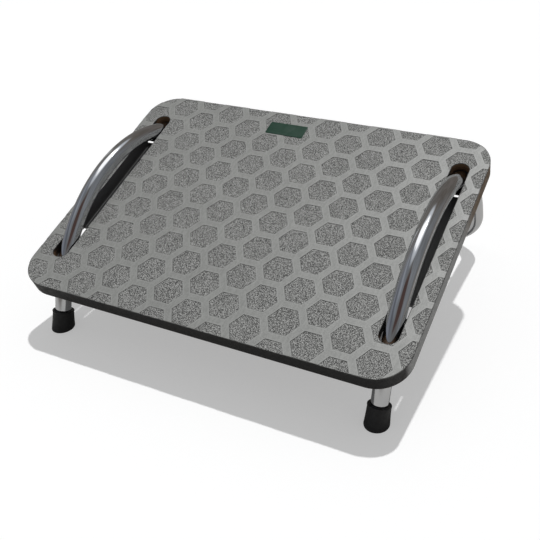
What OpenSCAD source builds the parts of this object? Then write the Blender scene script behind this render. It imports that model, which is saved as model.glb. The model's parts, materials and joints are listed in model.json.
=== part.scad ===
// Tilting under desk footrest: a plywood footboard that slides round two chromed tube arches.
// Millimetres, +Z up. The user sits on the -Y side, and the board rises towards +Y.
// The origin is on the floor, under the middle of the whole object.

/* [Board] */
// Width of the board
board_w = 450; // [400:5:540]
// Depth of the board, measured along its slope
board_d = 325; // [305:5:365]
// Thickness of the board with both films
board_t = 17; // [15:0.5:20]
// Radius of the board's corners
corner_r = 36; // [20:1:40]
// Thickness of the anti-slip film on top
film_t = 1; // [0.8:0.1:1.6]
// Thickness of the smooth film underneath
back_film_t = 0.4; // [0.3:0.1:0.8]
// Distance from the side edge to the middle of a slot
slot_inset = 29; // [26:0.5:40]
// Distance from the rear edge to the rear guides
rear_margin = 28; // [24:0.5:33]

/* [Anti-slip hexagons] */
// Distance between neighbouring hexagons
hex_pitch = 38.9; // [34:0.1:50]
// Width of a hexagon across its flats
hex_flat = 30.4; // [20:0.1:32]
// Depth of the rough hexagon fields
hex_depth = 0.35; // [0.2:0.05:0.5]
// Place of one hexagon, to the right of the middle
hex_x = 25.8; // [0:0.1:38]
// Place of the same hexagon, behind the middle
hex_y = -49.1; // [-60:0.1:-30]

/* [Label] */
// Width of the plain green label
label_w = 50; // [30:1:70]
// Depth of the label
label_d = 20.5; // [12:0.5:26]
// Thickness of the label
label_t = 0.2; // [0.1:0.05:0.4]
// Distance from the middle of the board to the middle of the label, to the left
label_left = 25; // [0:1:60]
// Distance from the rear edge to the middle of the label
label_inset = 28.5; // [16:0.5:40]

/* [Tubes] */
// Outer diameter of the tube
tube_d = 18; // [16:0.5:19]
// Wall of the tube
tube_wall = 1.5; // [1:0.1:2.5]
// Radius of each arch, to the middle of the tube
arch_r = 181; // [173:1:193]
// Length of a front leg, from the arch to the floor
leg_len = 38; // [32:0.5:46]
// Angle behind plumb at which the arch turns into the rear bend
rear_arc = 65; // [60:1:68]

/* [Tilt] */
// Tilt of the board as it stands
tilt_rest = 20; // [0:1:24]
// Least tilt
tilt_flat = 0; // [0:1:6]
// Greatest tilt
tilt_steep = 24; // [24:0.5:27]
// Distance from the board's middle to the point over the arch centres, to the rear
hinge_shift = 1.5; // [0:0.5:6]

/* [Guides] */
// Depth of the guide pockets in the underside
pocket_depth = 7; // [5:0.5:8]
// Height of a guide below the board
guide_drop = 11; // [9:0.5:13]
// Wall of a guide on the slot side of the tube
guide_wall = 7; // [5:0.5:8]
// Wall of a guide on the outer side of the tube
guide_end = 10.7; // [9:0.1:11]
// Wall of a guide beside the tube
guide_side = 10.5; // [9:0.5:11]
// Play between tube and guide, on the radius
run_clear = 0.05; // [0.03:0.01:0.1]
// Gap between the two halves of a guide
split_gap = 0.6; // [0.3:0.1:1.2]
// Free space between tube and slot, on each side
slot_clear = 1; // [0.8:0.05:2]

/* [Slot strips] */
// Width of the strip under each slot
strip_w = 40; // [32:1:44]
// Thickness of the strip
strip_t = 4; // [2:0.5:5]
// Gap between the strip and the front guide
strip_front_gap = 28; // [20:1:36]
// Gap between the strip and the rear guide
strip_rear_gap = 3; // [2:0.5:12]

/* [Feet] */
// Height of a front foot, along the leg
foot_h = 22; // [18:0.5:23]
// Diameter of a front foot at its top
foot_top_d = 23.4; // [22.6:0.1:26]
// Diameter of a front foot at the floor
foot_floor_d = 26; // [24:0.5:32]
// Rubber under the washer in a front foot
foot_sole = 4; // [2.5:0.5:6]
// Thickness of the washer in a front foot
washer_t = 1.5; // [1:0.1:2]
// Rubber under the crossbar
pad_t = 2.5; // [1.5:0.1:3]
// Rubber round the rest of the crossbar
pad_wall = 3.5; // [3.4:0.1:5]
// Width of a rear pad
pad_w = 18; // [12:1:30]
// Distance from the rear bend to the rear pad
pad_inset = 16; // [12:1:30]

/* [Fasteners] */
// Diameter of the guide and strip screws
screw_d = 4; // [3:0.1:4.2]
// Diameter of their heads
screw_head_d = 8; // [6:0.1:8]
// Depth of their countersunk heads
screw_head_h = 2.2; // [1.6:0.1:2.4]
// How far the screws go into the board
screw_bite = 5.5; // [4:0.5:6.5]
// Diameter of the brake screws and pads
brake_d = 6; // [4:0.5:7]
// Thickness of a brake pad at the middle
brake_pad_t = 4; // [2.5:0.5:5]
// Size of the socket in a brake screw
brake_key = 3; // [2:0.5:3]
// Diameter of the stop screws
stop_d = 4; // [3:0.1:5]
// Diameter of a stop screw's head
stop_head_d = 7; // [6:0.5:8]
// Height of a stop screw's head
stop_head_h = 2.5; // [2:0.1:3]
// Length of a stop screw below its head
stop_len = 6; // [4:0.5:7]
// Length of the spigot that joins the two tubes
spigot_len = 90; // [60:5:140]
// Wall of the spigot
spigot_wall = 2; // [1.5:0.1:3]
// Diameter of the joint screws
joint_d = 5; // [4:0.1:6]
// Diameter of a joint screw's head
joint_head_d = 9; // [8:0.5:10]
// Height of a joint screw's head
joint_head_h = 2.6; // [2:0.1:3]
// Length of a joint screw below its head
joint_len = 8; // [6:0.5:9]

/* [Hidden] */
$fn = 64;

// How far a cut runs past the face that it opens
overrun = 5;
// Play of a piece in its pocket, hole or tube
fit_clear = 0.1;
// Play between a stop screw's head and the guide at the end of the travel
stop_gap = 0.1;
// Spare arch past the lowest place of the front guides, in degrees
arc_spare = 1.3;
// Height and width of the bead round the top of a front foot
bead_h = 2;
bead_out = 0.5;
// Distances of the wood screws from the edges of guide and strip, as shares of the head's diameter
guide_low_share = 0.85;
guide_rear_share = 0.62;
strip_side_share = 0.7;
strip_end_share = 1;
// Upper diameter of a button head, as a share of its lower one
head_taper_share = 0.7;
// Size of the socket in a button head, as a share of the screw's diameter
socket_share = 0.5;
// Thickness of the seam ring, as a share of the tube's wall
seam_share = 0.5;

tube_r = tube_d / 2;
slot_x = board_w / 2 - slot_inset;
slot_w = tube_d + 2 * slot_clear;
core_t = board_t - film_t - back_film_t;

// Half the length that a circle of radius r cuts off at height w above its centre, and the reverse
function half_chord(r, w) = sqrt(r * r - w * w);

// How far the arches reach along the board where they pass the pocket floors
reach = board_d / 2 - hinge_shift - rear_margin - guide_end;

// Heights in the board's own frame, whose origin is on the hinge axis
pocket_w = half_chord(arch_r + tube_r, reach);
under_w = pocket_w - pocket_depth;
top_w = under_w + board_t;
guide_w = under_w - guide_drop;
strip_low_w = under_w - strip_t;

// Outline of a guide: its place along the board, from the point over the hinge axis
guide_in_top = half_chord(arch_r - tube_r, pocket_w) - guide_wall;
guide_in_low = half_chord(arch_r - tube_r, guide_w) - 2 * guide_wall;
guide_out = reach + guide_end;
// Place of the guide's sloping face at height w
function guide_in(w) = guide_in_top + (guide_in_low - guide_in_top) * (pocket_w - w) / (pocket_w - guide_w);
guide_half = tube_r + guide_side;
screw_x = tube_r + guide_side / 2;
guide_screw_in = guide_in_low + screw_head_d * guide_low_share;
guide_screw_out = guide_out - screw_head_d * guide_rear_share;
guide_screw_len = pocket_w - guide_w + screw_bite;
brake_w = (pocket_w + guide_w) / 2;
brake_u = half_chord(arch_r, brake_w);

// How far a slot strip reaches to the front and to the rear
strip_front = guide_in(under_w) - strip_front_gap;
strip_rear = guide_in(under_w) - strip_rear_gap;
strip_screw_len = strip_t + back_film_t + screw_bite;

// The slot ends clear the tube where it leaves the slot at the pocket floor
slot_end = reach + slot_clear;

// Angles from plumb: where the bore of a guide ends, and where the stops sit
bore_low_angle = acos(guide_w / (arch_r + tube_r));
stop_low_angle = acos((guide_w - stop_head_d / 2 - stop_gap) / arch_r);
front_arc = bore_low_angle + tilt_steep + arc_spare;
stop_front = stop_low_angle + tilt_steep;
stop_rear = stop_low_angle - tilt_flat;

// The straight legs end on the floor, and the rear bend ends at the crossbar
axis_h = leg_len * sin(front_arc) - arch_r * cos(front_arc);
bar_h = tube_r + pad_t;
bend_r = (axis_h + arch_r * cos(rear_arc) - bar_h) / sin(rear_arc);
bar_y = arch_r * sin(rear_arc) + bend_r * cos(rear_arc);
bar_half = slot_x - bend_r;
joint_x = spigot_len / 4;

// The whole object is centred on the origin from front to back
front_reach = (board_d / 2 + hinge_shift) * cos(tilt_rest) + top_w * sin(tilt_rest);
rear_reach = bar_y + tube_r + pad_wall;
axis_y = (front_reach - rear_reach) / 2;

// Frames and handed copies

module on_axis() {
    translate([0, axis_y, axis_h])
        children();
}

module on_board() {
    on_axis()
        rotate([tilt_rest, 0, 0])
            children();
}

// Turns a shape in the X-Y plane into the plane of the right arch, X to the rear and Y up
module arch_plane() {
    translate([slot_x, 0, 0])
        rotate([90, 0, 90])
            children();
}

module handed(left) {
    mirror([left ? 1 : 0, 0, 0])
        children();
}

module fore_and_aft(front) {
    mirror([0, front ? 1 : 0, 0])
        children();
}

// Plan shapes

module rounded_rectangle(w, d, r) {
    square([w - 2 * r, d], center = true);
    square([w, d - 2 * r], center = true);
    for (sx = [-1, 1], sy = [-1, 1])
        translate([sx * (w / 2 - r), sy * (d / 2 - r)])
            circle(r = r);
}

module slot_plan() {
    straight = slot_end - slot_w / 2;
    for (s = [-1, 1])
        translate([s * slot_x, 0]) {
            square([slot_w, 2 * straight], center = true);
            for (e = [-1, 1])
                translate([0, e * straight])
                    circle(d = slot_w);
        }
}

// The board's outline with its slots, about the point over the hinge axis
module board_plan() {
    difference() {
        translate([0, -hinge_shift])
            rounded_rectangle(board_w, board_d, corner_r);
        slot_plan();
    }
}

// Tubes

// The space that a bar of radius r fills along one arch, from floor to crossbar
module tube_path(r, past) {
    arch_plane() {
        rotate([0, 0, 90 - rear_arc])
            rotate_extrude(angle = rear_arc + front_arc, $fn = 180)
                translate([arch_r, 0])
                    circle(r = r);
        rotate([0, 0, 90 + front_arc])
            translate([arch_r, 0, 0])
                rotate([-90, 0, 0])
                    cylinder(r = r, h = leg_len - foot_sole - washer_t + past);
        rotate([0, 0, 90 - rear_arc])
            translate([arch_r, 0, -bend_r])
                rotate([180, -90, 0])
                    rotate_extrude(angle = 90, $fn = 96)
                        translate([bend_r, 0])
                            circle(r = r);
    }
    translate([-past, bar_y, bar_h - axis_h])
        rotate([0, 90, 0])
            cylinder(r = r, h = bar_half + past);
}

// Places a child at a stop screw, +Z pointing from the tube's middle to the other arch
module at_stops() {
    arch_plane()
        for (a = [90 + stop_front, 90 - stop_rear])
            rotate([0, 0, a])
                translate([arch_r, 0, 0])
                    rotate([180, 0, 0])
                        children();
}

// Places a child at the right tube's joint screw, +Z pointing from the tube's middle to the front
module at_joint_screw() {
    translate([joint_x, bar_y, bar_h - axis_h])
        rotate([90, 0, 0])
            children();
}

// A ring inside the tube's wall that ties a straight stretch to a bent one across their seam
module seam_ring() {
    middle_r = tube_r - tube_wall / 2;
    half_t = tube_wall * seam_share / 2;
    translate([0, 0, -tube_wall])
        difference() {
            cylinder(r = middle_r + half_t, h = 2 * tube_wall);
            translate([0, 0, -overrun])
                cylinder(r = middle_r - half_t, h = 2 * tube_wall + 2 * overrun);
        }
}

module arch_tube(left) {
    color([0.80, 0.81, 0.83])
        on_axis()
            handed(left)
                difference() {
                    union() {
                        difference() {
                            tube_path(tube_r, 0);
                            tube_path(tube_r - tube_wall, overrun);
                        }
                        arch_plane()
                            rotate([0, 0, 90 + front_arc])
                                translate([arch_r, 0, 0])
                                    rotate([90, 0, 0])
                                        seam_ring();
                        translate([bar_half, bar_y, bar_h - axis_h])
                            rotate([0, 90, 0])
                                seam_ring();
                    }
                    at_stops()
                        cylinder(d = stop_d, h = tube_r + overrun);
                    at_joint_screw()
                        cylinder(d = joint_d, h = tube_r + overrun);
                }
}

module arch_tube_left() {
    arch_tube(true);
}

module arch_tube_right() {
    arch_tube(false);
}

module joint_spigot() {
    spigot_r = tube_r - tube_wall - fit_clear / 2;
    color([0.62, 0.63, 0.65])
        on_axis()
            difference() {
                translate([-spigot_len / 2, bar_y, bar_h - axis_h])
                    rotate([0, 90, 0])
                        difference() {
                            cylinder(r = spigot_r, h = spigot_len);
                            translate([0, 0, -overrun])
                                cylinder(r = spigot_r - spigot_wall, h = spigot_len + 2 * overrun);
                        }
                for (left = [true, false])
                    handed(left)
                        at_joint_screw()
                            cylinder(d = joint_d, h = tube_r + overrun);
            }
}

// A button-head screw whose head rests on z = seat, pointing to +Z
module button_screw(d, head_d, head_h, len, seat) {
    difference() {
        union() {
            translate([0, 0, seat - len])
                cylinder(d = d, h = len);
            translate([0, 0, seat])
                cylinder(d1 = head_d, d2 = head_d * head_taper_share, h = head_h);
        }
        translate([0, 0, seat + head_h / 2])
            cylinder(d = d * socket_share, h = head_h, $fn = 6);
    }
}

module joint_screws() {
    color([0.30, 0.30, 0.31])
        on_axis()
            for (left = [true, false])
                handed(left)
                    at_joint_screw()
                        button_screw(joint_d, joint_head_d, joint_head_h, joint_len, tube_r);
}

module stop_screws() {
    color([0.30, 0.30, 0.31])
        on_axis()
            for (left = [true, false])
                handed(left)
                    at_stops()
                        button_screw(stop_d, stop_head_d, stop_head_h, stop_len, tube_r);
}

// Feet

// Places a child at the foot of the right leg, +Z pointing down the leg, with the floor at z = 0
module at_foot() {
    arch_plane()
        rotate([0, 0, 90 + front_arc])
            translate([arch_r, leg_len, 0])
                rotate([-90, 0, 0])
                    children();
}

module front_foot(left) {
    color([0.07, 0.07, 0.07])
        handed(left)
            difference() {
                on_axis()
                    at_foot()
                        difference() {
                            union() {
                                translate([0, 0, -foot_h])
                                    cylinder(d1 = foot_top_d, d2 = foot_floor_d, h = foot_h);
                                cylinder(d = foot_floor_d, h = overrun);
                                translate([0, 0, -foot_h])
                                    cylinder(d = foot_top_d + 2 * bead_out, h = bead_h);
                            }
                            translate([0, 0, -foot_h - overrun])
                                cylinder(d = tube_d, h = foot_h - foot_sole + overrun);
                        }
                translate([slot_x - foot_floor_d, axis_y - 2 * arch_r, -2 * foot_floor_d])
                    cube([2 * foot_floor_d, 2 * arch_r, 2 * foot_floor_d]);
            }
}

module front_foot_left() {
    front_foot(true);
}

module front_foot_right() {
    front_foot(false);
}

module foot_washers() {
    color([0.70, 0.71, 0.72])
        for (left = [true, false])
            handed(left)
                on_axis()
                    at_foot()
                        translate([0, 0, -foot_sole - washer_t])
                            cylinder(d = tube_d, h = washer_t);
}

module rear_pad(left) {
    pad_r = tube_r + pad_wall;
    color([0.07, 0.07, 0.07])
        handed(left)
            intersection() {
                on_axis()
                    translate([bar_half - pad_inset - pad_w, bar_y, bar_h - axis_h])
                        rotate([0, 90, 0])
                            difference() {
                                cylinder(r = pad_r, h = pad_w);
                                translate([0, 0, -overrun])
                                    cylinder(r = tube_r, h = pad_w + 2 * overrun);
                            }
                translate([0, axis_y + bar_y - 2 * pad_r, 0])
                    cube([slot_x, 4 * pad_r, 4 * pad_r]);
            }
}

module rear_pad_left() {
    rear_pad(true);
}

module rear_pad_right() {
    rear_pad(false);
}

// Board

// Places a child at each screw of one rear guide half, +Z up through the board
module at_guide_screws(outer) {
    side = outer ? 1 : -1;
    for (u = [guide_screw_in, guide_screw_out])
        translate([slot_x + side * screw_x, u, guide_w])
            children();
}

module at_strip_screws() {
    side = strip_w / 2 - screw_head_d * strip_side_share;
    from_end = screw_head_d * strip_end_share;
    for (s = [-1, 1], u = [from_end - strip_front, strip_rear - from_end])
        translate([slot_x + s * side, u, strip_low_w])
            children();
}

// Repeats the rear right child at all four guides
module at_all_guides() {
    for (left = [true, false], front = [true, false])
        handed(left)
            fore_and_aft(front)
                children();
}

module wood_screw(len) {
    cylinder(d1 = screw_head_d, d2 = screw_d, h = screw_head_h);
    cylinder(d = screw_d, h = len);
}

module screw_hole(len) {
    wood_screw(len);
    translate([0, 0, -overrun])
        cylinder(d = screw_head_d, h = overrun);
}

// The pockets in the underside that the guides sit in, with the given play
module guide_pockets() {
    at_all_guides()
        translate([slot_x - guide_half - fit_clear, guide_in_top - fit_clear, under_w - overrun])
            cube([
                2 * (guide_half + fit_clear),
                guide_out - guide_in_top + 2 * fit_clear,
                pocket_depth + overrun
            ]);
}

module board_core() {
    color([0.30, 0.22, 0.15])
        on_board()
            difference() {
                translate([0, 0, under_w + back_film_t])
                    linear_extrude(core_t)
                        board_plan();
                guide_pockets();
                at_all_guides()
                    for (outer = [true, false])
                        at_guide_screws(outer)
                            cylinder(d = screw_d, h = guide_screw_len);
                for (left = [true, false])
                    handed(left)
                        at_strip_screws()
                            cylinder(d = screw_d, h = strip_screw_len);
            }
}

// Hexagon fields in columns from front to back, every second column half a pitch further on
module hex_fields() {
    column = hex_pitch * sqrt(3) / 2;
    columns = ceil(board_w / column);
    rows = ceil(board_d / hex_pitch);
    for (i = [-columns:columns], j = [-rows:rows]) {
        x = hex_x + i * column;
        y = hex_y + (j + abs(i % 2) / 2) * hex_pitch;
        if (abs(x) < board_w / 2 + hex_flat / 2 && abs(y) < board_d / 2 + hex_flat / 2)
            translate([x, y])
                circle(r = hex_flat / sqrt(3), $fn = 6);
    }
}

module top_film() {
    color([0.55, 0.56, 0.54])
        on_board()
            difference() {
                translate([0, 0, top_w - film_t])
                    linear_extrude(film_t)
                        board_plan();
                translate([0, -hinge_shift, top_w - hex_depth])
                    linear_extrude(hex_depth + overrun)
                        hex_fields();
            }
}

module bottom_film() {
    color([0.16, 0.12, 0.09])
        on_board()
            difference() {
                translate([0, 0, under_w])
                    linear_extrude(back_film_t)
                        board_plan();
                guide_pockets();
                for (left = [true, false])
                    handed(left)
                        at_strip_screws()
                            cylinder(d = screw_d, h = strip_screw_len);
            }
}

module label() {
    color([0.05, 0.35, 0.22])
        on_board()
            translate([-label_left, board_d / 2 - hinge_shift - label_inset, top_w])
                linear_extrude(label_t)
                    square([label_w, label_d], center = true);
}

module slot_strip(left) {
    color([0.13, 0.13, 0.13])
        on_board()
            handed(left)
                difference() {
                    translate([slot_x - strip_w / 2, -strip_front, strip_low_w])
                        cube([strip_w, strip_front + strip_rear, strip_t]);
                    at_strip_screws()
                        screw_hole(strip_screw_len);
                }
}

module slot_strip_left() {
    slot_strip(true);
}

module slot_strip_right() {
    slot_strip(false);
}

module strip_screws() {
    color([0.55, 0.55, 0.56])
        on_board()
            for (left = [true, false])
                handed(left)
                    at_strip_screws()
                        wood_screw(strip_screw_len);
}

// Guides

// The ring-shaped space that an arch sweeps through both of its guides
module guide_bore() {
    arch_plane()
        rotate_extrude($fn = 180)
            translate([arch_r, 0])
                circle(r = tube_r + run_clear);
}

// Places a child at a rear guide's brake, +Z pointing from the tube's middle to the side of the board
module at_brake() {
    translate([slot_x, brake_u, brake_w])
        rotate([0, 90, 0])
            children();
}

module guide(left, front, outer) {
    outline = [
        [guide_in_top, pocket_w],
        [guide_out, pocket_w],
        [guide_out, guide_w],
        [guide_in_low, guide_w]
    ];
    color([0.06, 0.06, 0.06])
        on_board()
            handed(left)
                fore_and_aft(front)
                    difference() {
                        arch_plane()
                            translate([0, 0, outer ? split_gap / 2 : -guide_half])
                                linear_extrude(guide_half - split_gap / 2)
                                    polygon(outline);
                        guide_bore();
                        at_guide_screws(outer)
                            screw_hole(guide_screw_len);
                        if (outer)
                            at_brake()
                                cylinder(d = brake_d, h = guide_half + overrun);
                    }
}

module guide_front_left_inner() {
    guide(true, true, false);
}

module guide_front_left_outer() {
    guide(true, true, true);
}

module guide_front_right_inner() {
    guide(false, true, false);
}

module guide_front_right_outer() {
    guide(false, true, true);
}

module guide_rear_left_inner() {
    guide(true, false, false);
}

module guide_rear_left_outer() {
    guide(true, false, true);
}

module guide_rear_right_inner() {
    guide(false, false, false);
}

module guide_rear_right_outer() {
    guide(false, false, true);
}

module guide_screws() {
    color([0.55, 0.55, 0.56])
        on_board()
            at_all_guides()
                for (outer = [true, false])
                    at_guide_screws(outer)
                        wood_screw(guide_screw_len);
}

module brake_pads() {
    color([0.75, 0.72, 0.62])
        on_board()
            at_all_guides()
                difference() {
                    at_brake()
                        cylinder(d = brake_d, h = tube_r + run_clear + brake_pad_t);
                    guide_bore();
                }
}

module brake_screws() {
    seat = tube_r + run_clear + brake_pad_t;
    color([0.30, 0.30, 0.31])
        on_board()
            at_all_guides()
                at_brake()
                    difference() {
                        translate([0, 0, seat])
                            cylinder(d = brake_d, h = guide_half - seat);
                        translate([0, 0, (seat + guide_half) / 2])
                            cylinder(d = brake_key * 2 / sqrt(3), h = guide_half, $fn = 6);
                    }
}

arch_tube_left();
arch_tube_right();
joint_spigot();
joint_screws();
front_foot_left();
front_foot_right();
foot_washers();
rear_pad_left();
rear_pad_right();
stop_screws();
board_core();
top_film();
bottom_film();
label();
slot_strip_left();
slot_strip_right();
strip_screws();
guide_front_left_inner();
guide_front_left_outer();
guide_front_right_inner();
guide_front_right_outer();
guide_rear_left_inner();
guide_rear_left_outer();
guide_rear_right_inner();
guide_rear_right_outer();
guide_screws();
brake_pads();
brake_screws();
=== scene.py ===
import bpy
import bmesh
import json
import math
import numpy as np
from mathutils import Matrix


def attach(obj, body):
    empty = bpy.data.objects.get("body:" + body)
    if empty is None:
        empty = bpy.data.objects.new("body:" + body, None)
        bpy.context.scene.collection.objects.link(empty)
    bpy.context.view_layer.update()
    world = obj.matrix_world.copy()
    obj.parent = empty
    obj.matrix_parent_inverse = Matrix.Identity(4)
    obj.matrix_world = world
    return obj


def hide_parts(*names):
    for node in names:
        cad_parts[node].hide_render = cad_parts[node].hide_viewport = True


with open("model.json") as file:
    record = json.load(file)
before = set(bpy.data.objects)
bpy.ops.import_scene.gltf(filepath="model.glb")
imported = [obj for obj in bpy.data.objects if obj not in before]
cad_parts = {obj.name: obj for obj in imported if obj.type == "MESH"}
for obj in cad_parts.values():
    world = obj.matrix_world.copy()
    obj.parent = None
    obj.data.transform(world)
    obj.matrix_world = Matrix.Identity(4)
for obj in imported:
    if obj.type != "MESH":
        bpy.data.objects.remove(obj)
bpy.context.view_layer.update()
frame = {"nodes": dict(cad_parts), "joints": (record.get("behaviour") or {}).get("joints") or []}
nodes = frame["nodes"]
mm = 0.001                                                # lengths below are written in millimetres


# mesh and node helpers

def gridMesh(name, points, turn=False, ringU=True, ringV=True):
    # points is (rows, columns, 3); quads join each point to the next in both directions, closed where asked
    rows, cols = points.shape[:2]
    i, j = np.meshgrid(np.arange(rows if ringU else rows - 1), np.arange(cols if ringV else cols - 1), indexing="ij")
    i2, j2 = (i + 1) % rows, (j + 1) % cols
    quads = np.stack([i * cols + j, i2 * cols + j, i2 * cols + j2, i * cols + j2], -1).reshape(-1, 4)
    if turn:
        quads = quads[:, ::-1]
    return rawMesh(name, points.reshape(-1, 3), quads)


def rawMesh(name, points, faces, smooth=True):
    # an object at the origin from points (n, 3) and faces (m, corners), as they are
    mesh = bpy.data.meshes.new(name)
    mesh.from_pydata(points.tolist(), [], faces.tolist())
    mesh.polygons.foreach_set("use_smooth", np.full(len(mesh.polygons), smooth))
    mesh.update()
    piece = bpy.data.objects.new(name, mesh)
    bpy.context.scene.collection.objects.link(piece)
    return piece


def closeEnds(piece, around):
    # one face over the first ring of points and one over the last, each pointing out
    work = bmesh.new()
    work.from_mesh(piece.data)
    work.verts.ensure_lookup_table()
    count = len(work.verts)
    work.faces.new([work.verts[i] for i in range(around)])
    work.faces.new([work.verts[i] for i in range(count - around, count)])
    bmesh.ops.recalc_face_normals(work, faces=work.faces)
    work.to_mesh(piece.data)
    work.free()


def put(tree, kind, sockets=None, **settings):
    # one new node; sockets maps an input's name or number to a value or to another node's output
    made = tree.nodes.new(kind)
    for key, value in settings.items():
        setattr(made, key, value)
    for key, value in (sockets or {}).items():
        if isinstance(value, bpy.types.NodeSocket):
            tree.links.new(value, made.inputs[key])
        else:
            made.inputs[key].default_value = value
    return made


def calc(tree, how, a, b=0.0):
    # one sum of one or two numbers; plus, minus and times below are the common ones
    return put(tree, "ShaderNodeMath", {0: a, 1: b}, operation=how).outputs[0]


def plus(tree, a, b):
    return calc(tree, "ADD", a, b)


def minus(tree, a, b):
    return calc(tree, "SUBTRACT", a, b)


def times(tree, a, b):
    return calc(tree, "MULTIPLY", a, b)


def apart(tree, value, middle):
    # how far value is from middle, either way
    return calc(tree, "ABSOLUTE", minus(tree, value, middle))


def vec(tree, how, a, b=(0, 0, 0), out=0):
    # vector sums; out is 1 for those that give a number, such as a length or a dot product
    return put(tree, "ShaderNodeVectorMath", {0: a, 1: b}, operation=how).outputs[out]


def ease(tree, value, low, high, toLow=0.0, toHigh=1.0):
    # smooth step from toLow at low to toHigh at high
    return put(tree, "ShaderNodeMapRange", {"Value": value, "From Min": low, "From Max": high, "To Min": toLow,
               "To Max": toHigh}, interpolation_type="SMOOTHSTEP").outputs[0]


def between(tree, value, low, high, soft):
    # one from low to high and nothing outside, each end eased over soft to both sides
    return times(tree, ease(tree, value, low - soft, low + soft), ease(tree, value, high + soft, high - soft))


def rgba(colour):
    # red, green and blue with an alpha of 1, and sockets as they are
    return (*colour, 1) if isinstance(colour, tuple) and len(colour) == 3 else colour


def blend(tree, amount, a, b, how="MIX"):
    # colour a at amount 0 and colour b at amount 1
    return put(tree, "ShaderNodeMix", {0: amount, 6: rgba(a), 7: rgba(b)}, data_type="RGBA", blend_type=how).outputs[2]


def noise(tree, place, scale, detail=2.0, rough=0.5, twist=0.0):
    # cloudy noise from 0 to 1 about 0.5, with scale patches to the metre
    return put(tree, "ShaderNodeTexNoise", {"Vector": place, "Scale": scale, "Detail": detail, "Roughness": rough,
               "Distortion": twist}).outputs[0]


def stretched(tree, place, along, detail, rough, twist=0.0):
    # noise whose patches to the metre differ along x, y and z
    return noise(tree, vec(tree, "MULTIPLY", place, along), 1.0, detail, rough, twist)


def objectPlace(tree):
    # the point of the model, in metres
    return put(tree, "ShaderNodeTexCoord").outputs["Object"]


def newMaterial(name):
    # a material with its node tree and shader
    mat = bpy.data.materials.new(name)
    mat.use_nodes = True
    tree = mat.node_tree
    return mat, tree, tree.nodes["Principled BSDF"]


def wire(tree, shader, colour, rough, height, lift, strength):
    # links colour, roughness and a bump whose height is in units of lift, in metres
    tree.links.new(colour, shader.inputs["Base Color"])
    tree.links.new(rough, shader.inputs["Roughness"])
    bump = put(tree, "ShaderNodeBump", {"Strength": strength, "Distance": lift, "Height": height})
    tree.links.new(bump.outputs[0], shader.inputs["Normal"])


def dress(mat, *names):
    # the material of CAD nodes that stay as they are
    for name in names:
        nodes[name].data.materials.clear()
        nodes[name].data.materials.append(mat)


def finish(piece, mat, body, slot, *stands):
    # a new piece's material, the body it rides on, its slot, which is not used, and the CAD nodes it stands for
    piece.data.materials.clear()
    piece.data.materials.append(mat)
    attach(piece, body)
    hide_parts(*stands)


def makePair(title, points, mat, slot, node, turned=1, **rings):
    # a frame piece on the right and its mirror image on the left; the side called turned has its faces reversed
    pieces = []
    for side, name in ((1, "right"), (-1, "left")):
        piece = gridMesh(title + name, points * np.array([side, 1, 1]), turn=side == turned, **rings)
        finish(piece, mat, "frame", slot, node + name)
        pieces.append(piece)
    return pieces


# the board's own frame: x to the right, y to the rear along the slope, h up from the top face

board = {
    "width": 450 * mm, "depth": 325 * mm, "corner": 36 * mm,
    "tilt": math.radians(20), "shift": 1.5 * mm, "topFromAxis": 155.405 * mm,
    "slotX": 196 * mm, "slotWidth": 20 * mm, "slotEnd": 123.3 * mm,
}
axisPlace = frame["joints"][0]["pos_m"]
cosT, sinT = math.cos(board["tilt"]), math.sin(board["tilt"])


def toWorld(x, y, h):
    # board point to world: along the slope u = y - shift and out from the axis w = h + topFromAxis
    u, w = y - board["shift"], h + board["topFromAxis"]
    return np.stack(np.broadcast_arrays(x, axisPlace[1] + u * cosT - w * sinT, axisPlace[2] + u * sinT + w * cosT), -1)


def boardPlace(tree):
    # the same turn backwards, as a Mapping node on Object coordinates
    ay, az = axisPlace[1], axisPlace[2]
    back = (0, board["shift"] - (ay * cosT + az * sinT), -(az * cosT - ay * sinT) - board["topFromAxis"])
    return put(tree, "ShaderNodeMapping", {"Vector": objectPlace(tree), "Location": back,
               "Rotation": (-board["tilt"], 0, 0)}).outputs[0]


def length2(tree, x, y):
    # root of x squared plus y squared
    return vec(tree, "LENGTH", put(tree, "ShaderNodeCombineXYZ", {0: x, 1: y}).outputs[0], out=1)


def cutDistance(tree, place):
    # metres from a point of the board to its outline, a rectangle with round corners, and to the nearer of that
    # and a slot's edge, a line made thick: both are positive inside the wood
    split = put(tree, "ShaderNodeSeparateXYZ", {0: place}).outputs
    ax, ay = calc(tree, "ABSOLUTE", split[0]), calc(tree, "ABSOLUTE", split[1])
    qx = minus(tree, ax, board["width"] / 2 - board["corner"])
    qy = minus(tree, ay, board["depth"] / 2 - board["corner"])
    outer = length2(tree, calc(tree, "MAXIMUM", qx, 0.0), calc(tree, "MAXIMUM", qy, 0.0))
    inner = calc(tree, "MINIMUM", calc(tree, "MAXIMUM", qx, qy), 0.0)
    outline = minus(tree, board["corner"], plus(tree, outer, inner))
    fromMiddle = apart(tree, split[1], board["shift"])
    pastLine = calc(tree, "MAXIMUM", minus(tree, fromMiddle, board["slotEnd"] - board["slotWidth"] / 2), 0.0)
    slot = length2(tree, minus(tree, ax, board["slotX"]), pastLine)
    return calc(tree, "MINIMUM", outline, minus(tree, slot, board["slotWidth"] / 2)), outline, split


# anti-slip film: rough hexagon fields in a smooth satin net

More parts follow.
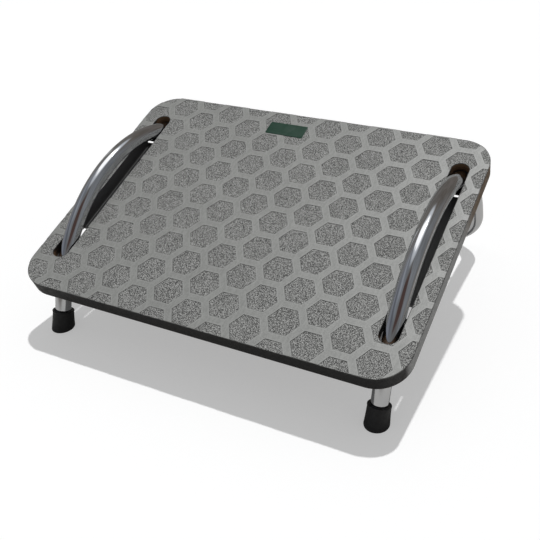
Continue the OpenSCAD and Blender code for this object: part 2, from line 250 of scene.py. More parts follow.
film = {
    "pitch": 38.9 * mm, "flat": 30.4 * mm, "x": 25.8 * mm, "y": -49.1 * mm, "fade": 0.4 * mm,
    # the field's crest tone is painted pale and its pit tone painted dark as shade in the pits; the pit tone also
    # colours the painted shade line round each field
    "net": (0.262, 0.266, 0.256), "netDark": 0.89, "netPale": 1.13, "crest": (0.405, 0.408, 0.396),
    # the rim tone is a painted highlight round each field
    "pitShade": (0.026, 0.026, 0.025), "edge": (0.020, 0.020, 0.019), "rim": (0.36, 0.365, 0.355),
    # the groove share sets how far painted shade darkens each field's border
    "rimHighlightShare": 0.40, "grooveShadeShare": 0.35, "grain": 0.80 * mm, "relief": 0.32, "satin": 0.018, "arris": -0.45,
    "cloudDark": (0.90, 0.90, 0.895), "cloudPale": (1.08, 1.08, 1.075),
}
column = film["pitch"] * math.sqrt(3) / 2                 # from one column of hexagons to the next


def hexDistance(tree, place):
    # distance from the middle of the nearest hexagon, measured so that all six sides lie at flat / 2:
    # the larger of y and x sin 60 + y cos 60, in two sets of cells, one column and half a pitch apart
    start = vec(tree, "SUBTRACT", vec(tree, "MULTIPLY", place, (1, 1, 0)), (film["x"], film["y"], 0))
    found = []
    for offset in ((0, 0, 0), (column, film["pitch"] / 2, 0)):
        moved = vec(tree, "SUBTRACT", start, offset)
        cell = put(tree, "ShaderNodeVectorMath", {0: moved, 1: (column, film["pitch"] / 2, 1),
                   2: (-column, -film["pitch"] / 2, -1)}, operation="WRAP").outputs[0]
        side = vec(tree, "ABSOLUTE", cell)
        slant = vec(tree, "DOT_PRODUCT", side, (math.sqrt(3) / 2, 0.5, 0), out=1)
        straight = vec(tree, "DOT_PRODUCT", side, (0, 1, 0), out=1)
        found.append(calc(tree, "MAXIMUM", slant, straight))
    return calc(tree, "MINIMUM", found[0], found[1])


def makeFilm():
    # net beyond flat / 2 of the nearest hexagon and rough field inside, a pale line painted as a highlight and a dark
    # one painted as shade between them
    mat, tree, shader = newMaterial("antiSlipFilm")
    place = boardPlace(tree)
    cut = cutDistance(tree, place)[0]
    hexagon = hexDistance(tree, place)
    half = film["flat"] / 2
    field = ease(tree, hexagon, half + film["fade"], half - film["fade"])
    # a maze of ridges and pits, about half of each, cut slantwise through solid noise; the pits are painted dark as
    # shade in them and the crests painted paler
    flat = put(tree, "ShaderNodeMapping", {"Vector": vec(tree, "MULTIPLY", place, (1, 1, 0)),
               "Location": (0.7313, 0.4127, 0.00047), "Rotation": (0.61, 0.37, 0.52)}).outputs[0]
    crest = ease(tree, noise(tree, flat, 1 / film["grain"], 0.6, 0.5, 0.6), 0.43, 0.57)
    fine = noise(tree, place, 1 / (0.5 * mm), 2.0, 0.6)
    speckle = plus(tree, times(tree, crest, 0.85), times(tree, fine, 0.3))
    pitShadedField = blend(tree, ease(tree, speckle, 0.10, 1.0), film["pitShade"], film["crest"])
    # the net: half streaks along the board, half spots
    streak = stretched(tree, place, (420, 70, 0), 3.0, 0.6)
    spots = noise(tree, flat, 1 / (2.0 * mm), 3.0, 0.6)
    worn = ease(tree, plus(tree, times(tree, streak, 0.5), times(tree, spots, 0.5)), 0.36, 0.64)
    dark, pale = (tuple(share * v for v in film["net"]) for share in (film["netDark"], film["netPale"]))
    colour = blend(tree, field, blend(tree, worn, dark, pale), pitShadedField)
    # a pale line just outside each field: a painted highlight standing for light on a raised ridge
    rim = ease(tree, apart(tree, hexagon, half + 0.8 * mm), 1.0 * mm, 0.2 * mm)
    colour = blend(tree, times(tree, rim, film["rimHighlightShare"]), colour, film["rim"])
    # a dark line on each field's border, in the pit tone: painted shade, as in a groove
    grooveShade = ease(tree, apart(tree, hexagon, half + 0.05 * mm), 0.45 * mm, 0.1 * mm)
    colour = blend(tree, times(tree, grooveShade, film["grooveShadeShare"]), colour, film["pitShade"])
    cloud = noise(tree, place, 1 / (70 * mm), 3.0, 0.55)
    colour = blend(tree, 1.0, colour, blend(tree, cloud, film["cloudDark"], film["cloudPale"]), "MULTIPLY")
    # sealing paint on the cut sides, a little over the rim
    up = vec(tree, "DOT_PRODUCT", put(tree, "ShaderNodeTexCoord").outputs["Normal"], (0, -sinT, cosT), out=1)
    side = times(tree, ease(tree, up, 0.6, 0.3), ease(tree, cut, 1.2 * mm, 0.8 * mm))
    wander = times(tree, noise(tree, place, 1 / (4 * mm), 3.0), 0.7 * mm)
    smear = ease(tree, minus(tree, cut, wander), 0.12 * mm, -0.12 * mm)
    colour = blend(tree, calc(tree, "MAXIMUM", side, smear), colour, film["edge"])
    handled = ease(tree, noise(tree, place, 1 / (9 * mm), 4.0), 0.3, 0.7, 0.40, 0.48)
    rough = plus(tree, times(tree, field, 0.2), handled)
    relief = times(tree, field, times(tree, speckle, film["relief"]))
    satin = times(tree, noise(tree, place, 1 / (0.8 * mm), 2.0), film["satin"])
    arris = ease(tree, cut, 0.0, 0.8 * mm, film["arris"], 0.0)
    wire(tree, shader, colour, rough, plus(tree, plus(tree, relief, satin), arris), 1 * mm, 0.8)
    shader.inputs["IOR"].default_value = 1.5
    dress(mat, "top_film")


# plywood core: plies under a dark sealing coat

core = {
    "ply": 1.32 * mm, "light": (0.23, 0.135, 0.068), "dark": (0.082, 0.043, 0.021), "glue": (0.018, 0.010, 0.006),
    # the outer edges' coat tone is painted paler than the slot walls' coat, standing for the light on them
    "coat": (0.0090, 0.0088, 0.0085), "rim": (0.0205, 0.0203, 0.0200),
    # the side tones and the slot grey below are painted light, paler than the coat, for the right side and the slot
    # walls beside the strip
    "slotBrown": (0.042, 0.023, 0.012), "sidePaintedLightBrown": (0.165, 0.110, 0.058),
    "sidePaintedLightGrey": (0.330, 0.330, 0.323), "slotPaintedLightGrey": (0.165, 0.165, 0.168),
    # where the coat changes, from nothing to whole: along the slots, the right edge and its sealed side
    "slotEndBand": (106 * mm, 120 * mm), "stripBand": (100 * mm, 94 * mm),
    "rightBand": (195 * mm, 215 * mm), "rearBand": (-20 * mm, 120 * mm),
    "sideBand": (221.5 * mm, 224.5 * mm), "brownBand": (20 * mm, 80 * mm),
}


def makeCore():
    # layer = (height + a little sway) / ply: its whole part picks the ply's tone, its fraction finds the glue lines
    mat, tree, shader = newMaterial("sealedPlywood")
    place = boardPlace(tree)
    outline, split = cutDistance(tree, place)[1:]
    sway = times(tree, minus(tree, noise(tree, place, 1 / (60 * mm), 2.0), 0.5), 0.6 * mm)
    layer = calc(tree, "DIVIDE", plus(tree, split[2], sway), core["ply"])
    index = calc(tree, "FLOOR", layer)
    fromPly = apart(tree, calc(tree, "FRACT", layer), 0.5)
    chance = put(tree, "ShaderNodeTexWhiteNoise", {"W": index}, noise_dimensions="1D").outputs[0]
    cross = calc(tree, "PINGPONG", index, 1.0)
    along = stretched(tree, place, (60, 900, 900), 4.0, 0.6)
    across = stretched(tree, place, (900, 60, 900), 4.0, 0.6)
    grain = put(tree, "ShaderNodeMix", {0: cross, 2: along, 3: across}).outputs[0]
    shade = plus(tree, times(tree, chance, 0.35), times(tree, cross, 0.35))
    wood = blend(tree, plus(tree, shade, times(tree, grain, 0.35)), core["light"], core["dark"])
    wood = blend(tree, times(tree, ease(tree, fromPly, 0.40, 0.49), 0.7), wood, core["glue"])
    # the coat is thinnest at the slots' ends and along the right edge towards the rear
    inSlot = ease(tree, outline, 2 * mm, 6 * mm)
    fromMiddle = calc(tree, "ABSOLUTE", split[1])
    slotEnds = times(tree, inSlot, ease(tree, fromMiddle, *core["slotEndBand"]))
    rearRight = times(tree, ease(tree, split[0], *core["rightBand"]), ease(tree, split[1], *core["rearBand"]))
    thin = calc(tree, "MAXIMUM", slotEnds, times(tree, rearRight, 0.75))
    brushed = stretched(tree, place, (120, 120, 500), 5.0, 0.62)
    cover = ease(tree, minus(tree, brushed, plus(tree, times(tree, thin, 0.30), 0.30)), -0.05, 0.10)
    cover = calc(tree, "MAXIMUM", cover, minus(tree, 0.93, times(tree, thin, 0.63)))
    # outer edges take the paler coat tone, painted light; the slot walls keep the darker coat
    coat = blend(tree, thin, blend(tree, inSlot, core["rim"], core["coat"]), core["slotBrown"])
    # beside the strip the slot's walls are painted grey, much paler than their dark coat, standing for the light on
    # them
    beside = times(tree, inSlot, ease(tree, fromMiddle, *core["stripBand"]))
    coat = blend(tree, beside, coat, core["slotPaintedLightGrey"])
    # the right side is painted paler than its coat as the light on it: grey at the front, brown towards the rear where
    # the wood tone shows
    sidePaintedLightTone = blend(tree, ease(tree, split[1], *core["brownBand"]), core["sidePaintedLightGrey"], core["sidePaintedLightBrown"])
    coat = blend(tree, ease(tree, split[0], *core["sideBand"]), coat, sidePaintedLightTone)
    rough = ease(tree, noise(tree, place, 1 / (6 * mm), 4.0), 0.3, 0.7, 0.46, 0.60)
    lines = times(tree, ease(tree, fromPly, 0.36, 0.5), -0.10)
    height = plus(tree, lines, times(tree, grain, 0.10))
    wire(tree, shader, blend(tree, cover, wood, coat), rough, height, 1 * mm, 0.7)
    shader.inputs["Specular IOR Level"].default_value = 0.2
    dress(mat, "board_core")


# smooth film underneath

underside = {"vein": (0.052, 0.028, 0.018), "ground": (0.030, 0.017, 0.012), "blotch": (0.070, 0.038, 0.024)}


def makeUnderside():
    # veins along the board with paler blotches over them
    mat, tree, shader = newMaterial("smoothPhenolicFilm")
    place = boardPlace(tree)
    veins = stretched(tree, place, (8, 110, 60), 5.0, 0.65, 0.4)
    blotch = ease(tree, noise(tree, place, 1 / (45 * mm), 3.0), 0.45, 0.75)
    colour = blend(tree, ease(tree, veins, 0.35, 0.7), underside["vein"], underside["ground"])
    colour = blend(tree, times(tree, blotch, 0.35), colour, underside["blotch"])
    rough = ease(tree, noise(tree, place, 1 / (5 * mm), 4.0), 0.3, 0.7, 0.24, 0.38)
    wire(tree, shader, colour, rough, veins, 0.12 * mm, 0.6)
    dress(mat, "bottom_film")


# chromed arches

tube = {
    "outer": 9 * mm, "inner": 7.5 * mm, "arch": 181 * mm, "front": math.radians(73.1901), "rear": math.radians(65),
    "bend": 54.0937 * mm, "leg": 38 * mm, "legHidden": 5.5 * mm, "barHalf": 141.906 * mm, "barHeight": 11.5 * mm,
    "endBreak": 0.35 * mm, "around": 72, "legSteps": 7, "archSteps": 150, "bendSteps": 46, "barSteps": 14,
    "innerStride": 8,
}
chrome = {"tint": (0.60, 0.605, 0.615), "cloud": (0.55, 0.56, 0.58)}


def legLine():
    # where the right leg leaves the arch, and its direction down to the floor
    f, big = tube["front"], tube["arch"]
    top = np.array([board["slotX"], axisPlace[1] - big * math.sin(f), axisPlace[2] + big * math.cos(f)])
    return top, np.array([0, -math.cos(f), -math.sin(f)])


def tubePath():
    # leg, arch, rear bend and crossbar of the right tube: middle points and two cross directions at each
    # the leg and bar are straight, the arch is (sin a, cos a) about the axis, the bend turns its end inwards
    big, rho = tube["arch"], tube["bend"]
    legEnd, down = legLine()
    t = np.linspace(tube["leg"] - tube["legHidden"], 0, tube["legSteps"], endpoint=False)[:, None]
    leg = legEnd + t * down
    legDir = np.tile(-down, (len(t), 1))
    a = np.linspace(-tube["front"], tube["rear"], tube["archSteps"])[:, None]
    zero = np.zeros_like(a)
    arch = np.hstack([zero + board["slotX"], axisPlace[1] + big * np.sin(a), axisPlace[2] + big * np.cos(a)])
    archDir = np.hstack([zero, np.cos(a), -np.sin(a)])
    b = np.linspace(0, math.pi / 2, tube["bendSteps"])[1:, None]
    tangent, inward = archDir[-1], np.array([-1.0, 0, 0])
    bend = arch[-1] + rho * (np.sin(b) * tangent + (1 - np.cos(b)) * inward)
    bendDir = np.cos(b) * tangent + np.sin(b) * inward
    s = np.linspace(0, tube["barHalf"], tube["barSteps"])[1:, None]
    bar = bend[-1] + s * inward
    middle = np.vstack([leg, arch, bend, bar])
    ahead = np.vstack([legDir, archDir, bendDir, np.tile(inward, (len(s), 1))])
    outX = np.tile([1.0, 0, 0], (len(leg) + len(arch), 1))
    first = np.vstack([outX, np.sin(b) * tangent - np.cos(b) * inward, np.tile(tangent, (len(s), 1))])
    return middle, first, np.cross(ahead, first), ahead


def makeTubes(mat):
    # an annulus carried along the path: outer skin forward, inner skin back, both ends closed with a small break
    middle, first, second, ahead = tubePath()
    phi = np.linspace(0, 2 * math.pi, tube["around"], endpoint=False)[:, None]
    e, last, stride = tube["endBreak"], len(middle) - 1, tube["innerStride"]
    order = np.r_[0, 0, np.arange(1, last), last, last, last, last, np.arange(last - stride, stride, -stride), 0, 0]
    along = np.zeros(len(order))
    radius = np.full(len(order), tube["outer"])
    k = last + 1                                          # first ring at the bar's end
    radius[k + 2:] = tube["inner"]
    radius[[0, k + 1]] = tube["outer"] - e
    radius[[k + 2, -1]] = tube["inner"] + e
    along[[1, -2]] = e
    along[[k, k + 3]] = -e
    points = middle[order] + along[:, None] * ahead[order]
    ring = np.cos(phi) * first[order][:, None] + np.sin(phi) * second[order][:, None]
    rings = points[:, None] + radius[:, None, None] * ring
    makePair("chromedTube_", rings, mat, "chromed_tube", "arch_tube_")


def makeChrome():
    # bright plating with faint clouds, wiping marks in its gloss and a slow wave in its surface
    mat, tree, shader = newMaterial("chromePlating")
    place = objectPlace(tree)
    cloud = noise(tree, place, 1 / (35 * mm), 3.0)
    wipe = noise(tree, place, 1 / (4 * mm), 4.0, 0.7)
    colour = blend(tree, ease(tree, cloud, 0.35, 0.7), chrome["tint"], chrome["cloud"])
    rough = plus(tree, ease(tree, wipe, 0.35, 0.75, 0.055, 0.10), ease(tree, cloud, 0.5, 0.8, 0.0, 0.03))
    wave = noise(tree, place, 1 / (28 * mm), 1.0)
    fine = times(tree, noise(tree, place, 1 / (1.1 * mm), 2.0), 0.004)
    wire(tree, shader, colour, rough, plus(tree, wave, fine), 0.35 * mm, 0.6)
    shader.inputs["Metallic"].default_value = 1.0
    return mat


# rubber feet and crossbar pads

foot = {
    "height": 22 * mm, "top": 11.7 * mm, "floor": 13 * mm, "waist": 0.12 * mm, "around": 96,
    "socketFloor": 0.55, "mouth": 0.25 * mm, "mouthDrop": 0.2 * mm, "bead": 0.5 * mm, "beadHeight": 2 * mm,
    # the wall's top and bottom as shares of the height
    "wallTop": 0.82, "wallLow": 0.09, "wallSteps": 12,
    # down the bead round the mouth, in bead heights, and how far it stands out, in beads
    "beadDown": (0.06, 0.2, 0.4, 0.62, 0.82, 0.97, 1.08, 1.25),
    "beadOut": (0.35, 0.85, 1.0, 1.0, 0.8, 0.3, 0.05, 0.0),
    # up from the floor and in from the widest place, in millimetres, round the sole's edge
    "soleUp": (1.2, 0.7, 0.32, 0.1, 0.0, 0.0, 0.0), "soleIn": (0.06, 0.1, 0.3, 0.65, 1.1, 6.0, 12.9),
}
pad = {"radius": 12.5 * mm, "wide": 18 * mm, "inset": 16 * mm, "lip": 0.8 * mm, "around": 72, "lipSteps": 6}
rubber = {"black": (0.0105, 0.0105, 0.011), "dust": (0.045, 0.043, 0.040)}


def makeFeet(mat):
    # a lathe profile about the leg, sheared at its lower end so that the sole lies on the floor
    legEnd, down = legLine()
    floor = legEnd + tube["leg"] * down
    h, top, low, bore, mouth = foot["height"], foot["top"], foot["floor"], tube["outer"], foot["mouth"]
    inside = [h * foot["socketFloor"], h - foot["mouthDrop"], h, h]
    wall = h * np.linspace(foot["wallTop"], foot["wallLow"], foot["wallSteps"])
    hollow = foot["waist"] * np.sin(np.linspace(0, math.pi, foot["wallSteps"]))
    heights = np.concatenate([inside, h - foot["beadHeight"] * np.array(foot["beadDown"]),
                              wall, np.array(foot["soleUp"]) * mm])
    radii = np.concatenate([[bore, bore, bore + mouth, top - mouth], top + foot["bead"] * np.array(foot["beadOut"]),
                            low + (top - low) * wall / h - hollow, low - np.array(foot["soleIn"]) * mm])
    phi = np.linspace(0, 2 * math.pi, foot["around"], endpoint=False)
    across = np.array([1.0, 0, 0])
    ring = np.cos(phi)[:, None] * across + np.sin(phi)[:, None] * np.cross(down, across)
    lift = radii[:, None] * ring[None, :, 2] / down[2]     # how far up the leg the floor meets this direction
    reach = heights[:, None] + lift * (1 - heights[:, None] / h)
    points = floor - reach[..., None] * down + radii[:, None, None] * ring
    for piece in makePair("rubberFoot_", points, mat, "black_rubber", "front_foot_", ringU=False):
        closeEnds(piece, foot["around"])


def makePads(mat):
    # a sleeve with rounded ends round the crossbar, cut level with the floor
    y0 = axisPlace[1] + tube["arch"] * math.sin(tube["rear"]) + tube["bend"] * math.cos(tube["rear"])
    x0 = tube["barHalf"] - pad["inset"] - pad["wide"]
    r, w, lip, inner = pad["radius"], pad["wide"], pad["lip"], tube["outer"]
    q = np.linspace(0, math.pi / 2, pad["lipSteps"])
    xs = np.concatenate([[0.0], lip * (1 - np.cos(q)), w - lip * (1 - np.cos(q[::-1])), [w]])
    rs = np.concatenate([[inner], r - lip + lip * np.sin(q), r - lip + lip * np.sin(q[::-1]), [inner]])
    phi = np.linspace(0, 2 * math.pi, pad["around"], endpoint=False)
    y = y0 + rs[:, None] * np.sin(phi)
    z = np.maximum(tube["barHeight"] + rs[:, None] * np.cos(phi), 0.0)
    points = np.stack(np.broadcast_arrays(x0 + xs[:, None], y, z), -1)
    makePair("crossbarPad_", points, mat, "black_rubber", "rear_pad_", turned=-1)


def makeRubber():
    # satin black with a moulded grain, and dust that thins out 9 mm above the floor
    mat, tree, shader = newMaterial("blackRubber")
    place = objectPlace(tree)
    grain = noise(tree, place, 1 / (0.45 * mm), 3.0, 0.6)
    low = ease(tree, put(tree, "ShaderNodeSeparateXYZ", {0: place}).outputs[2], 9 * mm, 0.0)
    dust = times(tree, noise(tree, place, 1 / (7 * mm), 4.0, 0.6), low)
    colour = blend(tree, ease(tree, dust, 0.30, 0.75, 0.0, 0.45), rubber["black"], rubber["dust"])
    rough = ease(tree, noise(tree, place, 1 / (3 * mm), 3.0), 0.3, 0.7, 0.48, 0.62)
    wire(tree, shader, colour, rough, grain, 0.10 * mm, 0.6)
    return mat


# label

label = {
    "x": -25 * mm, "y": 134 * mm, "wide": 50 * mm, "deep": 20.5 * mm, "thick": 0.2 * mm, "base": 0.01 * mm,
    "corner": 1.6 * mm, "sink": 0.12 * mm, "slope": 2.5 * mm, "columns": 99, "rows": 41,
    "green": (0.0075, 0.038, 0.022), "faded": (0.011, 0.048, 0.029),
}


def hexNumbers(x, y):
    # the hexagon distance of the film's material, on arrays
    best = np.full(np.shape(x), 1.0)
    for ox, oy in ((0, 0), (column, film["pitch"] / 2)):
        cx = np.abs((x - film["x"] - ox + column) % (2 * column) - column)
        cy = np.abs((y - film["y"] - oy + film["pitch"] / 2) % film["pitch"] - film["pitch"] / 2)
        best = np.minimum(best, np.maximum(cx * math.sqrt(3) / 2 + cy / 2, cy))
    return best


def labelFaces():
    # quads over the upper grid, the same turned round below it, and a wall round the rim between them
    n, m = label["columns"], label["rows"]
    i, j = np.meshgrid(np.arange(n - 1), np.arange(m - 1), indexing="ij")
    quads = np.stack([i * m + j, (i + 1) * m + j, (i + 1) * m + j + 1, i * m + j + 1], -1).reshape(-1, 4)
    rim = np.concatenate([np.arange(n) * m, (n - 1) * m + np.arange(1, m),
                          np.arange(n - 2, -1, -1) * m + m - 1, np.arange(m - 2, 0, -1)])
    after = np.roll(rim, -1)
    walls = np.stack([rim, rim + n * m, after + n * m, after], -1)
    return np.vstack([quads, quads[:, ::-1] + n * m, walls])


def makeLabel():
    # a thin sheet with round corners that sinks a little into the hexagon fields under it
    gx, gy = np.meshgrid(np.linspace(-1, 1, label["columns"]) * label["wide"] / 2,
                         np.linspace(-1, 1, label["rows"]) * label["deep"] / 2, indexing="ij")
    kx, ky = label["wide"] / 2 - label["corner"], label["deep"] / 2 - label["corner"]
    ox, oy = np.maximum(np.abs(gx) - kx, 0), np.maximum(np.abs(gy) - ky, 0)
    pull = np.where((ox > 0) & (oy > 0), label["corner"] / np.maximum(np.hypot(ox, oy), label["corner"]), 1.0)
    x = np.sign(gx) * (np.minimum(np.abs(gx), kx) + ox * pull) + label["x"]
    y = np.sign(gy) * (np.minimum(np.abs(gy), ky) + oy * pull) + label["y"]
    near = np.clip((film["flat"] / 2 - hexNumbers(x, y)) / label["slope"], 0, 1)
    sink = label["sink"] * near * near * (3 - 2 * near)
    top, low = toWorld(x, y, label["thick"] - sink), toWorld(x, y, label["base"] - sink)
    piece = rawMesh("plainGreenLabel", np.vstack([top.reshape(-1, 3), low.reshape(-1, 3)]), labelFaces())
    mat, tree, shader = newMaterial("greenLabelFilm")
    place = boardPlace(tree)
    spots = noise(tree, place, 1 / (2.2 * mm), 4.0, 0.6)
    colour = blend(tree, ease(tree, spots, 0.35, 0.7), label["green"], label["faded"])
    rough = ease(tree, noise(tree, place, 1 / (14 * mm), 2.0), 0.3, 0.7, 0.28, 0.40)
    wire(tree, shader, colour, rough, noise(tree, place, 1 / (1.3 * mm), 2.0), 0.05 * mm, 0.5)
    shader.inputs["Specular IOR Level"].default_value = 0.25
    finish(piece, mat, "footboard", "green_label", "label")


# metal and plastic of the small parts

hardware = {
    "zinc": (0.52, 0.53, 0.55), "zincBloom": (0.60, 0.58, 0.50), "oxide": (0.030, 0.030, 0.032),
    "oxideWorn": (0.16, 0.155, 0.15), "nylon": (0.013, 0.013, 0.014), "nylonPale": (0.024, 0.024, 0.025),
    # the two strip greys are painted paler than the strips' own dark tone, standing for the light on them in the slots
    "strip": (0.125, 0.125, 0.123), "stripScuff": (0.170, 0.170, 0.167), "acetal": (0.55, 0.51, 0.40),
    "acetalPale": (0.66, 0.63, 0.53),
}


def makeScrewMetal():
    # zinc with a yellow bloom for the washers, spigot and wood screws, and worn black oxide for the others
    mat, tree, shader = newMaterial("zincSteel")
    place = objectPlace(tree)
    bloom = noise(tree, place, 1 / (6 * mm), 4.0, 0.6)
    colour = blend(tree, ease(tree, bloom, 0.35, 0.7), hardware["zinc"], hardware["zincBloom"])
    rough = ease(tree, noise(tree, place, 1 / (1.5 * mm), 3.0), 0.3, 0.7, 0.26, 0.42)
    wire(tree, shader, colour, rough, noise(tree, place, 1 / (0.5 * mm), 2.0), 0.04 * mm, 0.5)
    shader.inputs["Metallic"].default_value = 1.0
    dress(mat, "joint_spigot", "foot_washers", "strip_screws", "guide_screws")

    mat, tree, shader = newMaterial("blackOxideSteel")
    place = objectPlace(tree)
    worn = noise(tree, place, 1 / (2.5 * mm), 4.0, 0.65)
    colour = blend(tree, ease(tree, worn, 0.55, 0.75), hardware["oxide"], hardware["oxideWorn"])
    rough = ease(tree, worn, 0.3, 0.7, 0.34, 0.50)
    wire(tree, shader, colour, rough, noise(tree, place, 1 / (0.6 * mm), 2.0), 0.05 * mm, 0.5)
    shader.inputs["Metallic"].default_value = 1.0
    dress(mat, "joint_screws", "stop_screws", "brake_screws")


def makePlastics():
    # fine matt nylon for the guides, pebbled and scuffed strips in a grey painted paler than their own to stand for
    # the light on them, natural acetal for the brakes
    mat, tree, shader = newMaterial("blackNylon")
    place = boardPlace(tree)
    spark = noise(tree, place, 1 / (0.7 * mm), 3.0, 0.6)
    tone = ease(tree, noise(tree, place, 1 / (12 * mm), 3.0), 0.35, 0.7)
    rough = ease(tree, noise(tree, place, 1 / (4 * mm), 3.0), 0.3, 0.7, 0.42, 0.56)
    wire(tree, shader, blend(tree, tone, hardware["nylon"], hardware["nylonPale"]), rough, spark, 0.10 * mm, 0.6)
    for end in ("front", "rear"):
        for side in ("left", "right"):
            dress(mat, "guide_" + end + "_" + side + "_inner", "guide_" + end + "_" + side + "_outer")

    mat, tree, shader = newMaterial("slotStripPlastic")
    place = boardPlace(tree)
    pebble = put(tree, "ShaderNodeTexVoronoi", {"Vector": place, "Scale": 1 / (0.9 * mm)}, feature="SMOOTH_F1")
    scuff = stretched(tree, place, (500, 30, 500), 4.0, 0.6)
    # the strip's grey is painted light, paler than its own tone; the scuffs are wear
    colour = blend(tree, ease(tree, scuff, 0.5, 0.8), hardware["strip"], hardware["stripScuff"])
    rough = ease(tree, scuff, 0.3, 0.7, 0.50, 0.62)
    wire(tree, shader, colour, rough, pebble.outputs["Distance"], 0.12 * mm, 0.6)
    dress(mat, "slot_strip_left", "slot_strip_right")

    mat, tree, shader = newMaterial("naturalAcetal")
    place = boardPlace(tree)
    colour = blend(tree, noise(tree, place, 1 / (5 * mm), 3.0), hardware["acetal"], hardware["acetalPale"])
    rough = ease(tree, noise(tree, place, 1 / (2 * mm), 2.0), 0.3, 0.7, 0.32, 0.46)
    wire(tree, shader, colour, rough, noise(tree, place, 1 / (0.8 * mm), 2.0), 0.04 * mm, 0.5)
    dress(mat, "brake_pads")


# camera, light and stage

camera = {
    "lens": 48.198, "place": (0.36868, -0.66641, 0.49798), "shift": (-0.06955, 0.03159),
    "right": (0.90093, 0.43331, -0.02397), "down": (0.22015, -0.50393, -0.83521),
    "ahead": (-0.37399, 0.74719, -0.54940),
}
studio = {
    "key": 2.35, "keyLean": 18, "keyWidth": 1.5, "fill": 0.22, "fillTint": (0.98, 0.99, 1.0),
    "floorHalf": 40.0, "floorWhite": 0.67, "floorGlow": 0.385, "mirrorShare": 0.15,
    "floorNear": (0.54, 0.53, 0.51), "floorFar": (0.19, 0.175, 0.16), "nearEnds": 0.40, "farStarts": 0.85,
}
room = {
    "radius": 6.0, "around": 72, "upward": 20, "topGap": 0.01, "pale": (1.35, 1.36, 1.4),
    # share of a turn and tone, from behind the camera over its left, the rear and its right
    "ring": [(0.0, (0.17, 0.175, 0.175)), (0.10, (0.20, 0.215, 0.24)), (0.22, (0.21, 0.22, 0.245)),
             (0.30, (0.19, 0.185, 0.175)), (0.40, (0.150, 0.140, 0.128)), (0.50, (0.140, 0.124, 0.110)),
             (0.58, (0.135, 0.122, 0.108)), (0.66, (0.17, 0.175, 0.18)), (0.80, (0.20, 0.21, 0.22)),
             (0.88, (0.14, 0.135, 0.13)), (1.0, (0.17, 0.175, 0.175))],
    # tone, share, from and to round the room with the softness of both ends, the same in height as a sine
    "patches": [((0.60, 0.61, 0.62), 1.0, (0.327, 0.337, 0.003), (0.0, 0.50, 0.08)),       # window left of the rear
                ((0.10, 0.105, 0.12), 0.7, (0.06, 0.22, 0.04), (0.40, 0.60, 0.06)),        # dark shelf on the left
                ((0.38, 0.40, 0.44), 0.8, (0.08, 0.26, 0.04), (0.72, 0.84, 0.05)),         # lamp above it
                ((0.085, 0.048, 0.042), 0.9, (0.835, 0.985, 0.02), (0.50, 0.91, 0.05))],   # red-brown screen
    # tone, direction, and where it starts and is whole, as the cosine of the angle from that direction
    "ceiling": [((0.66, 0.69, 0.73), (-0.049, 0.184, 0.982), 0.88, 0.955),
                ((1.65, 1.65, 1.65), (-0.049, 0.184, 0.982), 0.958, 0.982),
                ((1.65, 1.65, 1.65), (-0.324, 0.187, 0.927), 0.974, 0.993)],
}


def makeCamera():
    # the columns of its turn are right, up and back; the picture's middle is shifted as in a crop
    data = bpy.data.cameras.new("photoCamera")
    data.sensor_fit = "HORIZONTAL"
    data.sensor_width = 36
    data.lens = camera["lens"]
    data.shift_x, data.shift_y = camera["shift"]
    data.clip_start, data.clip_end = 0.01, 200
    piece = bpy.data.objects.new("photoCamera", data)
    bpy.context.scene.collection.objects.link(piece)
    cols = [camera["right"], [-v for v in camera["down"]], [-v for v in camera["ahead"]]]
    turn = Matrix([[c[k] for c in cols] for k in range(3)])
    piece.matrix_world = Matrix.Translation(camera["place"]) @ turn.to_4x4()
    bpy.context.scene.camera = piece


def makeLight():
    # one soft key from above the rear and an even fill, with white for what the camera or a mirror sees
    sun = bpy.data.lights.new("softKey", "SUN")
    sun.energy = studio["key"]
    sun.angle = math.radians(studio["keyWidth"])
    piece = bpy.data.objects.new("softKey", sun)
    piece.rotation_euler = (math.radians(-studio["keyLean"]), 0, 0)
    bpy.context.scene.collection.objects.link(piece)
    world = bpy.data.worlds.new("paleRoom")
    world.use_nodes = True
    bpy.context.scene.world = world
    tree = world.node_tree
    tree.nodes.clear()
    path = put(tree, "ShaderNodeLightPath").outputs
    direct = calc(tree, "MAXIMUM", path["Is Camera Ray"], path["Is Glossy Ray"])
    seen = calc(tree, "MAXIMUM", direct, path["Is Transmission Ray"])
    soft = put(tree, "ShaderNodeBackground", {"Color": rgba(studio["fillTint"]), "Strength": studio["fill"]})
    white = put(tree, "ShaderNodeBackground", {"Color": (1, 1, 1, 1), "Strength": 1.0})
    mixed = put(tree, "ShaderNodeMixShader", {0: seen, 1: soft.outputs[0], 2: white.outputs[0]})
    put(tree, "ShaderNodeOutputWorld", {0: mixed.outputs[0]})


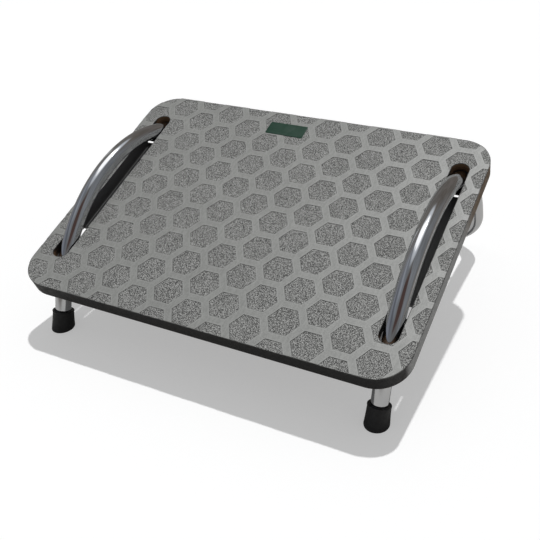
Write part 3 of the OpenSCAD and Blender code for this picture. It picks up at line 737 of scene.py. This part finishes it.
def makeFloor():
    # a plane that keeps shadows, with a glow for what the camera sees that lifts its lit part to white
    far = studio["floorHalf"]
    corners = np.array([[-far, -far, 0], [far, -far, 0], [far, far, 0], [-far, far, 0]])
    floor = rawMesh("studioFloor", corners, np.array([[0, 1, 2, 3]]), False)
    mat, tree, _ = newMaterial("paleFloor")
    path = put(tree, "ShaderNodeLightPath").outputs
    mirrored = times(tree, path["Is Glossy Ray"], studio["mirrorShare"])
    direct = calc(tree, "MAXIMUM", path["Is Camera Ray"], path["Is Transmission Ray"])
    seen = calc(tree, "MAXIMUM", direct, mirrored)
    # metal shows the floor's middle painted pale as a pool of light and the rest of the room's floor painted darker
    away = vec(tree, "LENGTH", objectPlace(tree), out=1)
    beyond = ease(tree, away, studio["nearEnds"], studio["farStarts"])
    paintedLightPool = blend(tree, beyond, studio["floorNear"], studio["floorFar"])
    tone = blend(tree, path["Is Glossy Ray"], (studio["floorWhite"],) * 3, paintedLightPool)
    matte = put(tree, "ShaderNodeBsdfDiffuse", {"Color": tone})
    glow = put(tree, "ShaderNodeEmission", {"Color": (1, 1, 1, 1), "Strength": times(tree, seen, studio["floorGlow"])})
    both = put(tree, "ShaderNodeAddShader", {0: matte.outputs[0], 1: glow.outputs[0]})
    tree.links.new(both.outputs[0], tree.nodes["Material Output"].inputs[0])
    floor.data.materials.append(mat)


def makeWalls():
    # a half ball of grey studio wall round the set, seen only in reflections:
    # (sin u cos v, cos u cos v, sin v) times the radius, from the floor up
    turns = np.linspace(0, 2 * math.pi, room["around"], endpoint=False)
    u, v = np.meshgrid(turns, np.linspace(0.0, math.pi / 2 - room["topGap"], room["upward"]), indexing="ij")
    points = room["radius"] * np.stack([np.sin(u) * np.cos(v), np.cos(u) * np.cos(v), np.sin(v)], -1)
    wall = gridMesh("studioWall", points, ringV=False)
    mat, tree, _ = newMaterial("studioWallGrey")
    facing = vec(tree, "NORMALIZE", objectPlace(tree))
    split = put(tree, "ShaderNodeSeparateXYZ", {0: facing}).outputs
    angle = plus(tree, calc(tree, "DIVIDE", calc(tree, "ARCTAN2", split[0], split[1]), 2 * math.pi), 0.5)
    ring = put(tree, "ShaderNodeValToRGB", {0: angle})
    ends = ring.color_ramp.elements
    ends[0].position, ends[0].color = room["ring"][0][0], rgba(room["ring"][0][1])
    ends[1].position, ends[1].color = room["ring"][-1][0], rgba(room["ring"][-1][1])
    for at, shade in room["ring"][1:-1]:
        ends.new(at).color = rgba(shade)
    mottled = ease(tree, noise(tree, facing, 5.0, 3.0, 0.6), 0.3, 0.7)
    colour = blend(tree, mottled, ring.outputs[0], blend(tree, 1.0, ring.outputs[0], room["pale"], "MULTIPLY"))
    for tone, share, turnSpan, heightSpan in room["patches"]:
        patch = times(tree, between(tree, angle, *turnSpan), between(tree, split[2], *heightSpan))
        colour = blend(tree, times(tree, patch, share), colour, tone)
    # a paler ceiling round two soft boxes
    for tone, towards, starts, whole in room["ceiling"]:
        nearBox = ease(tree, vec(tree, "DOT_PRODUCT", facing, towards, out=1), starts, whole)
        colour = blend(tree, nearBox, colour, tone)
    glow = put(tree, "ShaderNodeEmission", {"Color": colour, "Strength": 1.0})
    tree.links.new(glow.outputs[0], tree.nodes["Material Output"].inputs[0])
    wall.data.materials.append(mat)
    wall.visible_camera = wall.visible_diffuse = wall.visible_shadow = wall.visible_transmission = False


bpy.context.scene.view_settings.view_transform = "Standard"
makeCamera()
makeLight()
makeFloor()
makeWalls()
print("camera, light and stage set")
makeFilm()
makeCore()
makeUnderside()
print("board dressed")
makeTubes(makeChrome())
rubberMat = makeRubber()
makeFeet(rubberMat)
makePads(rubberMat)
print("tubes, feet and pads made")
makeLabel()
makeScrewMetal()
makePlastics()
print("label and small parts dressed")
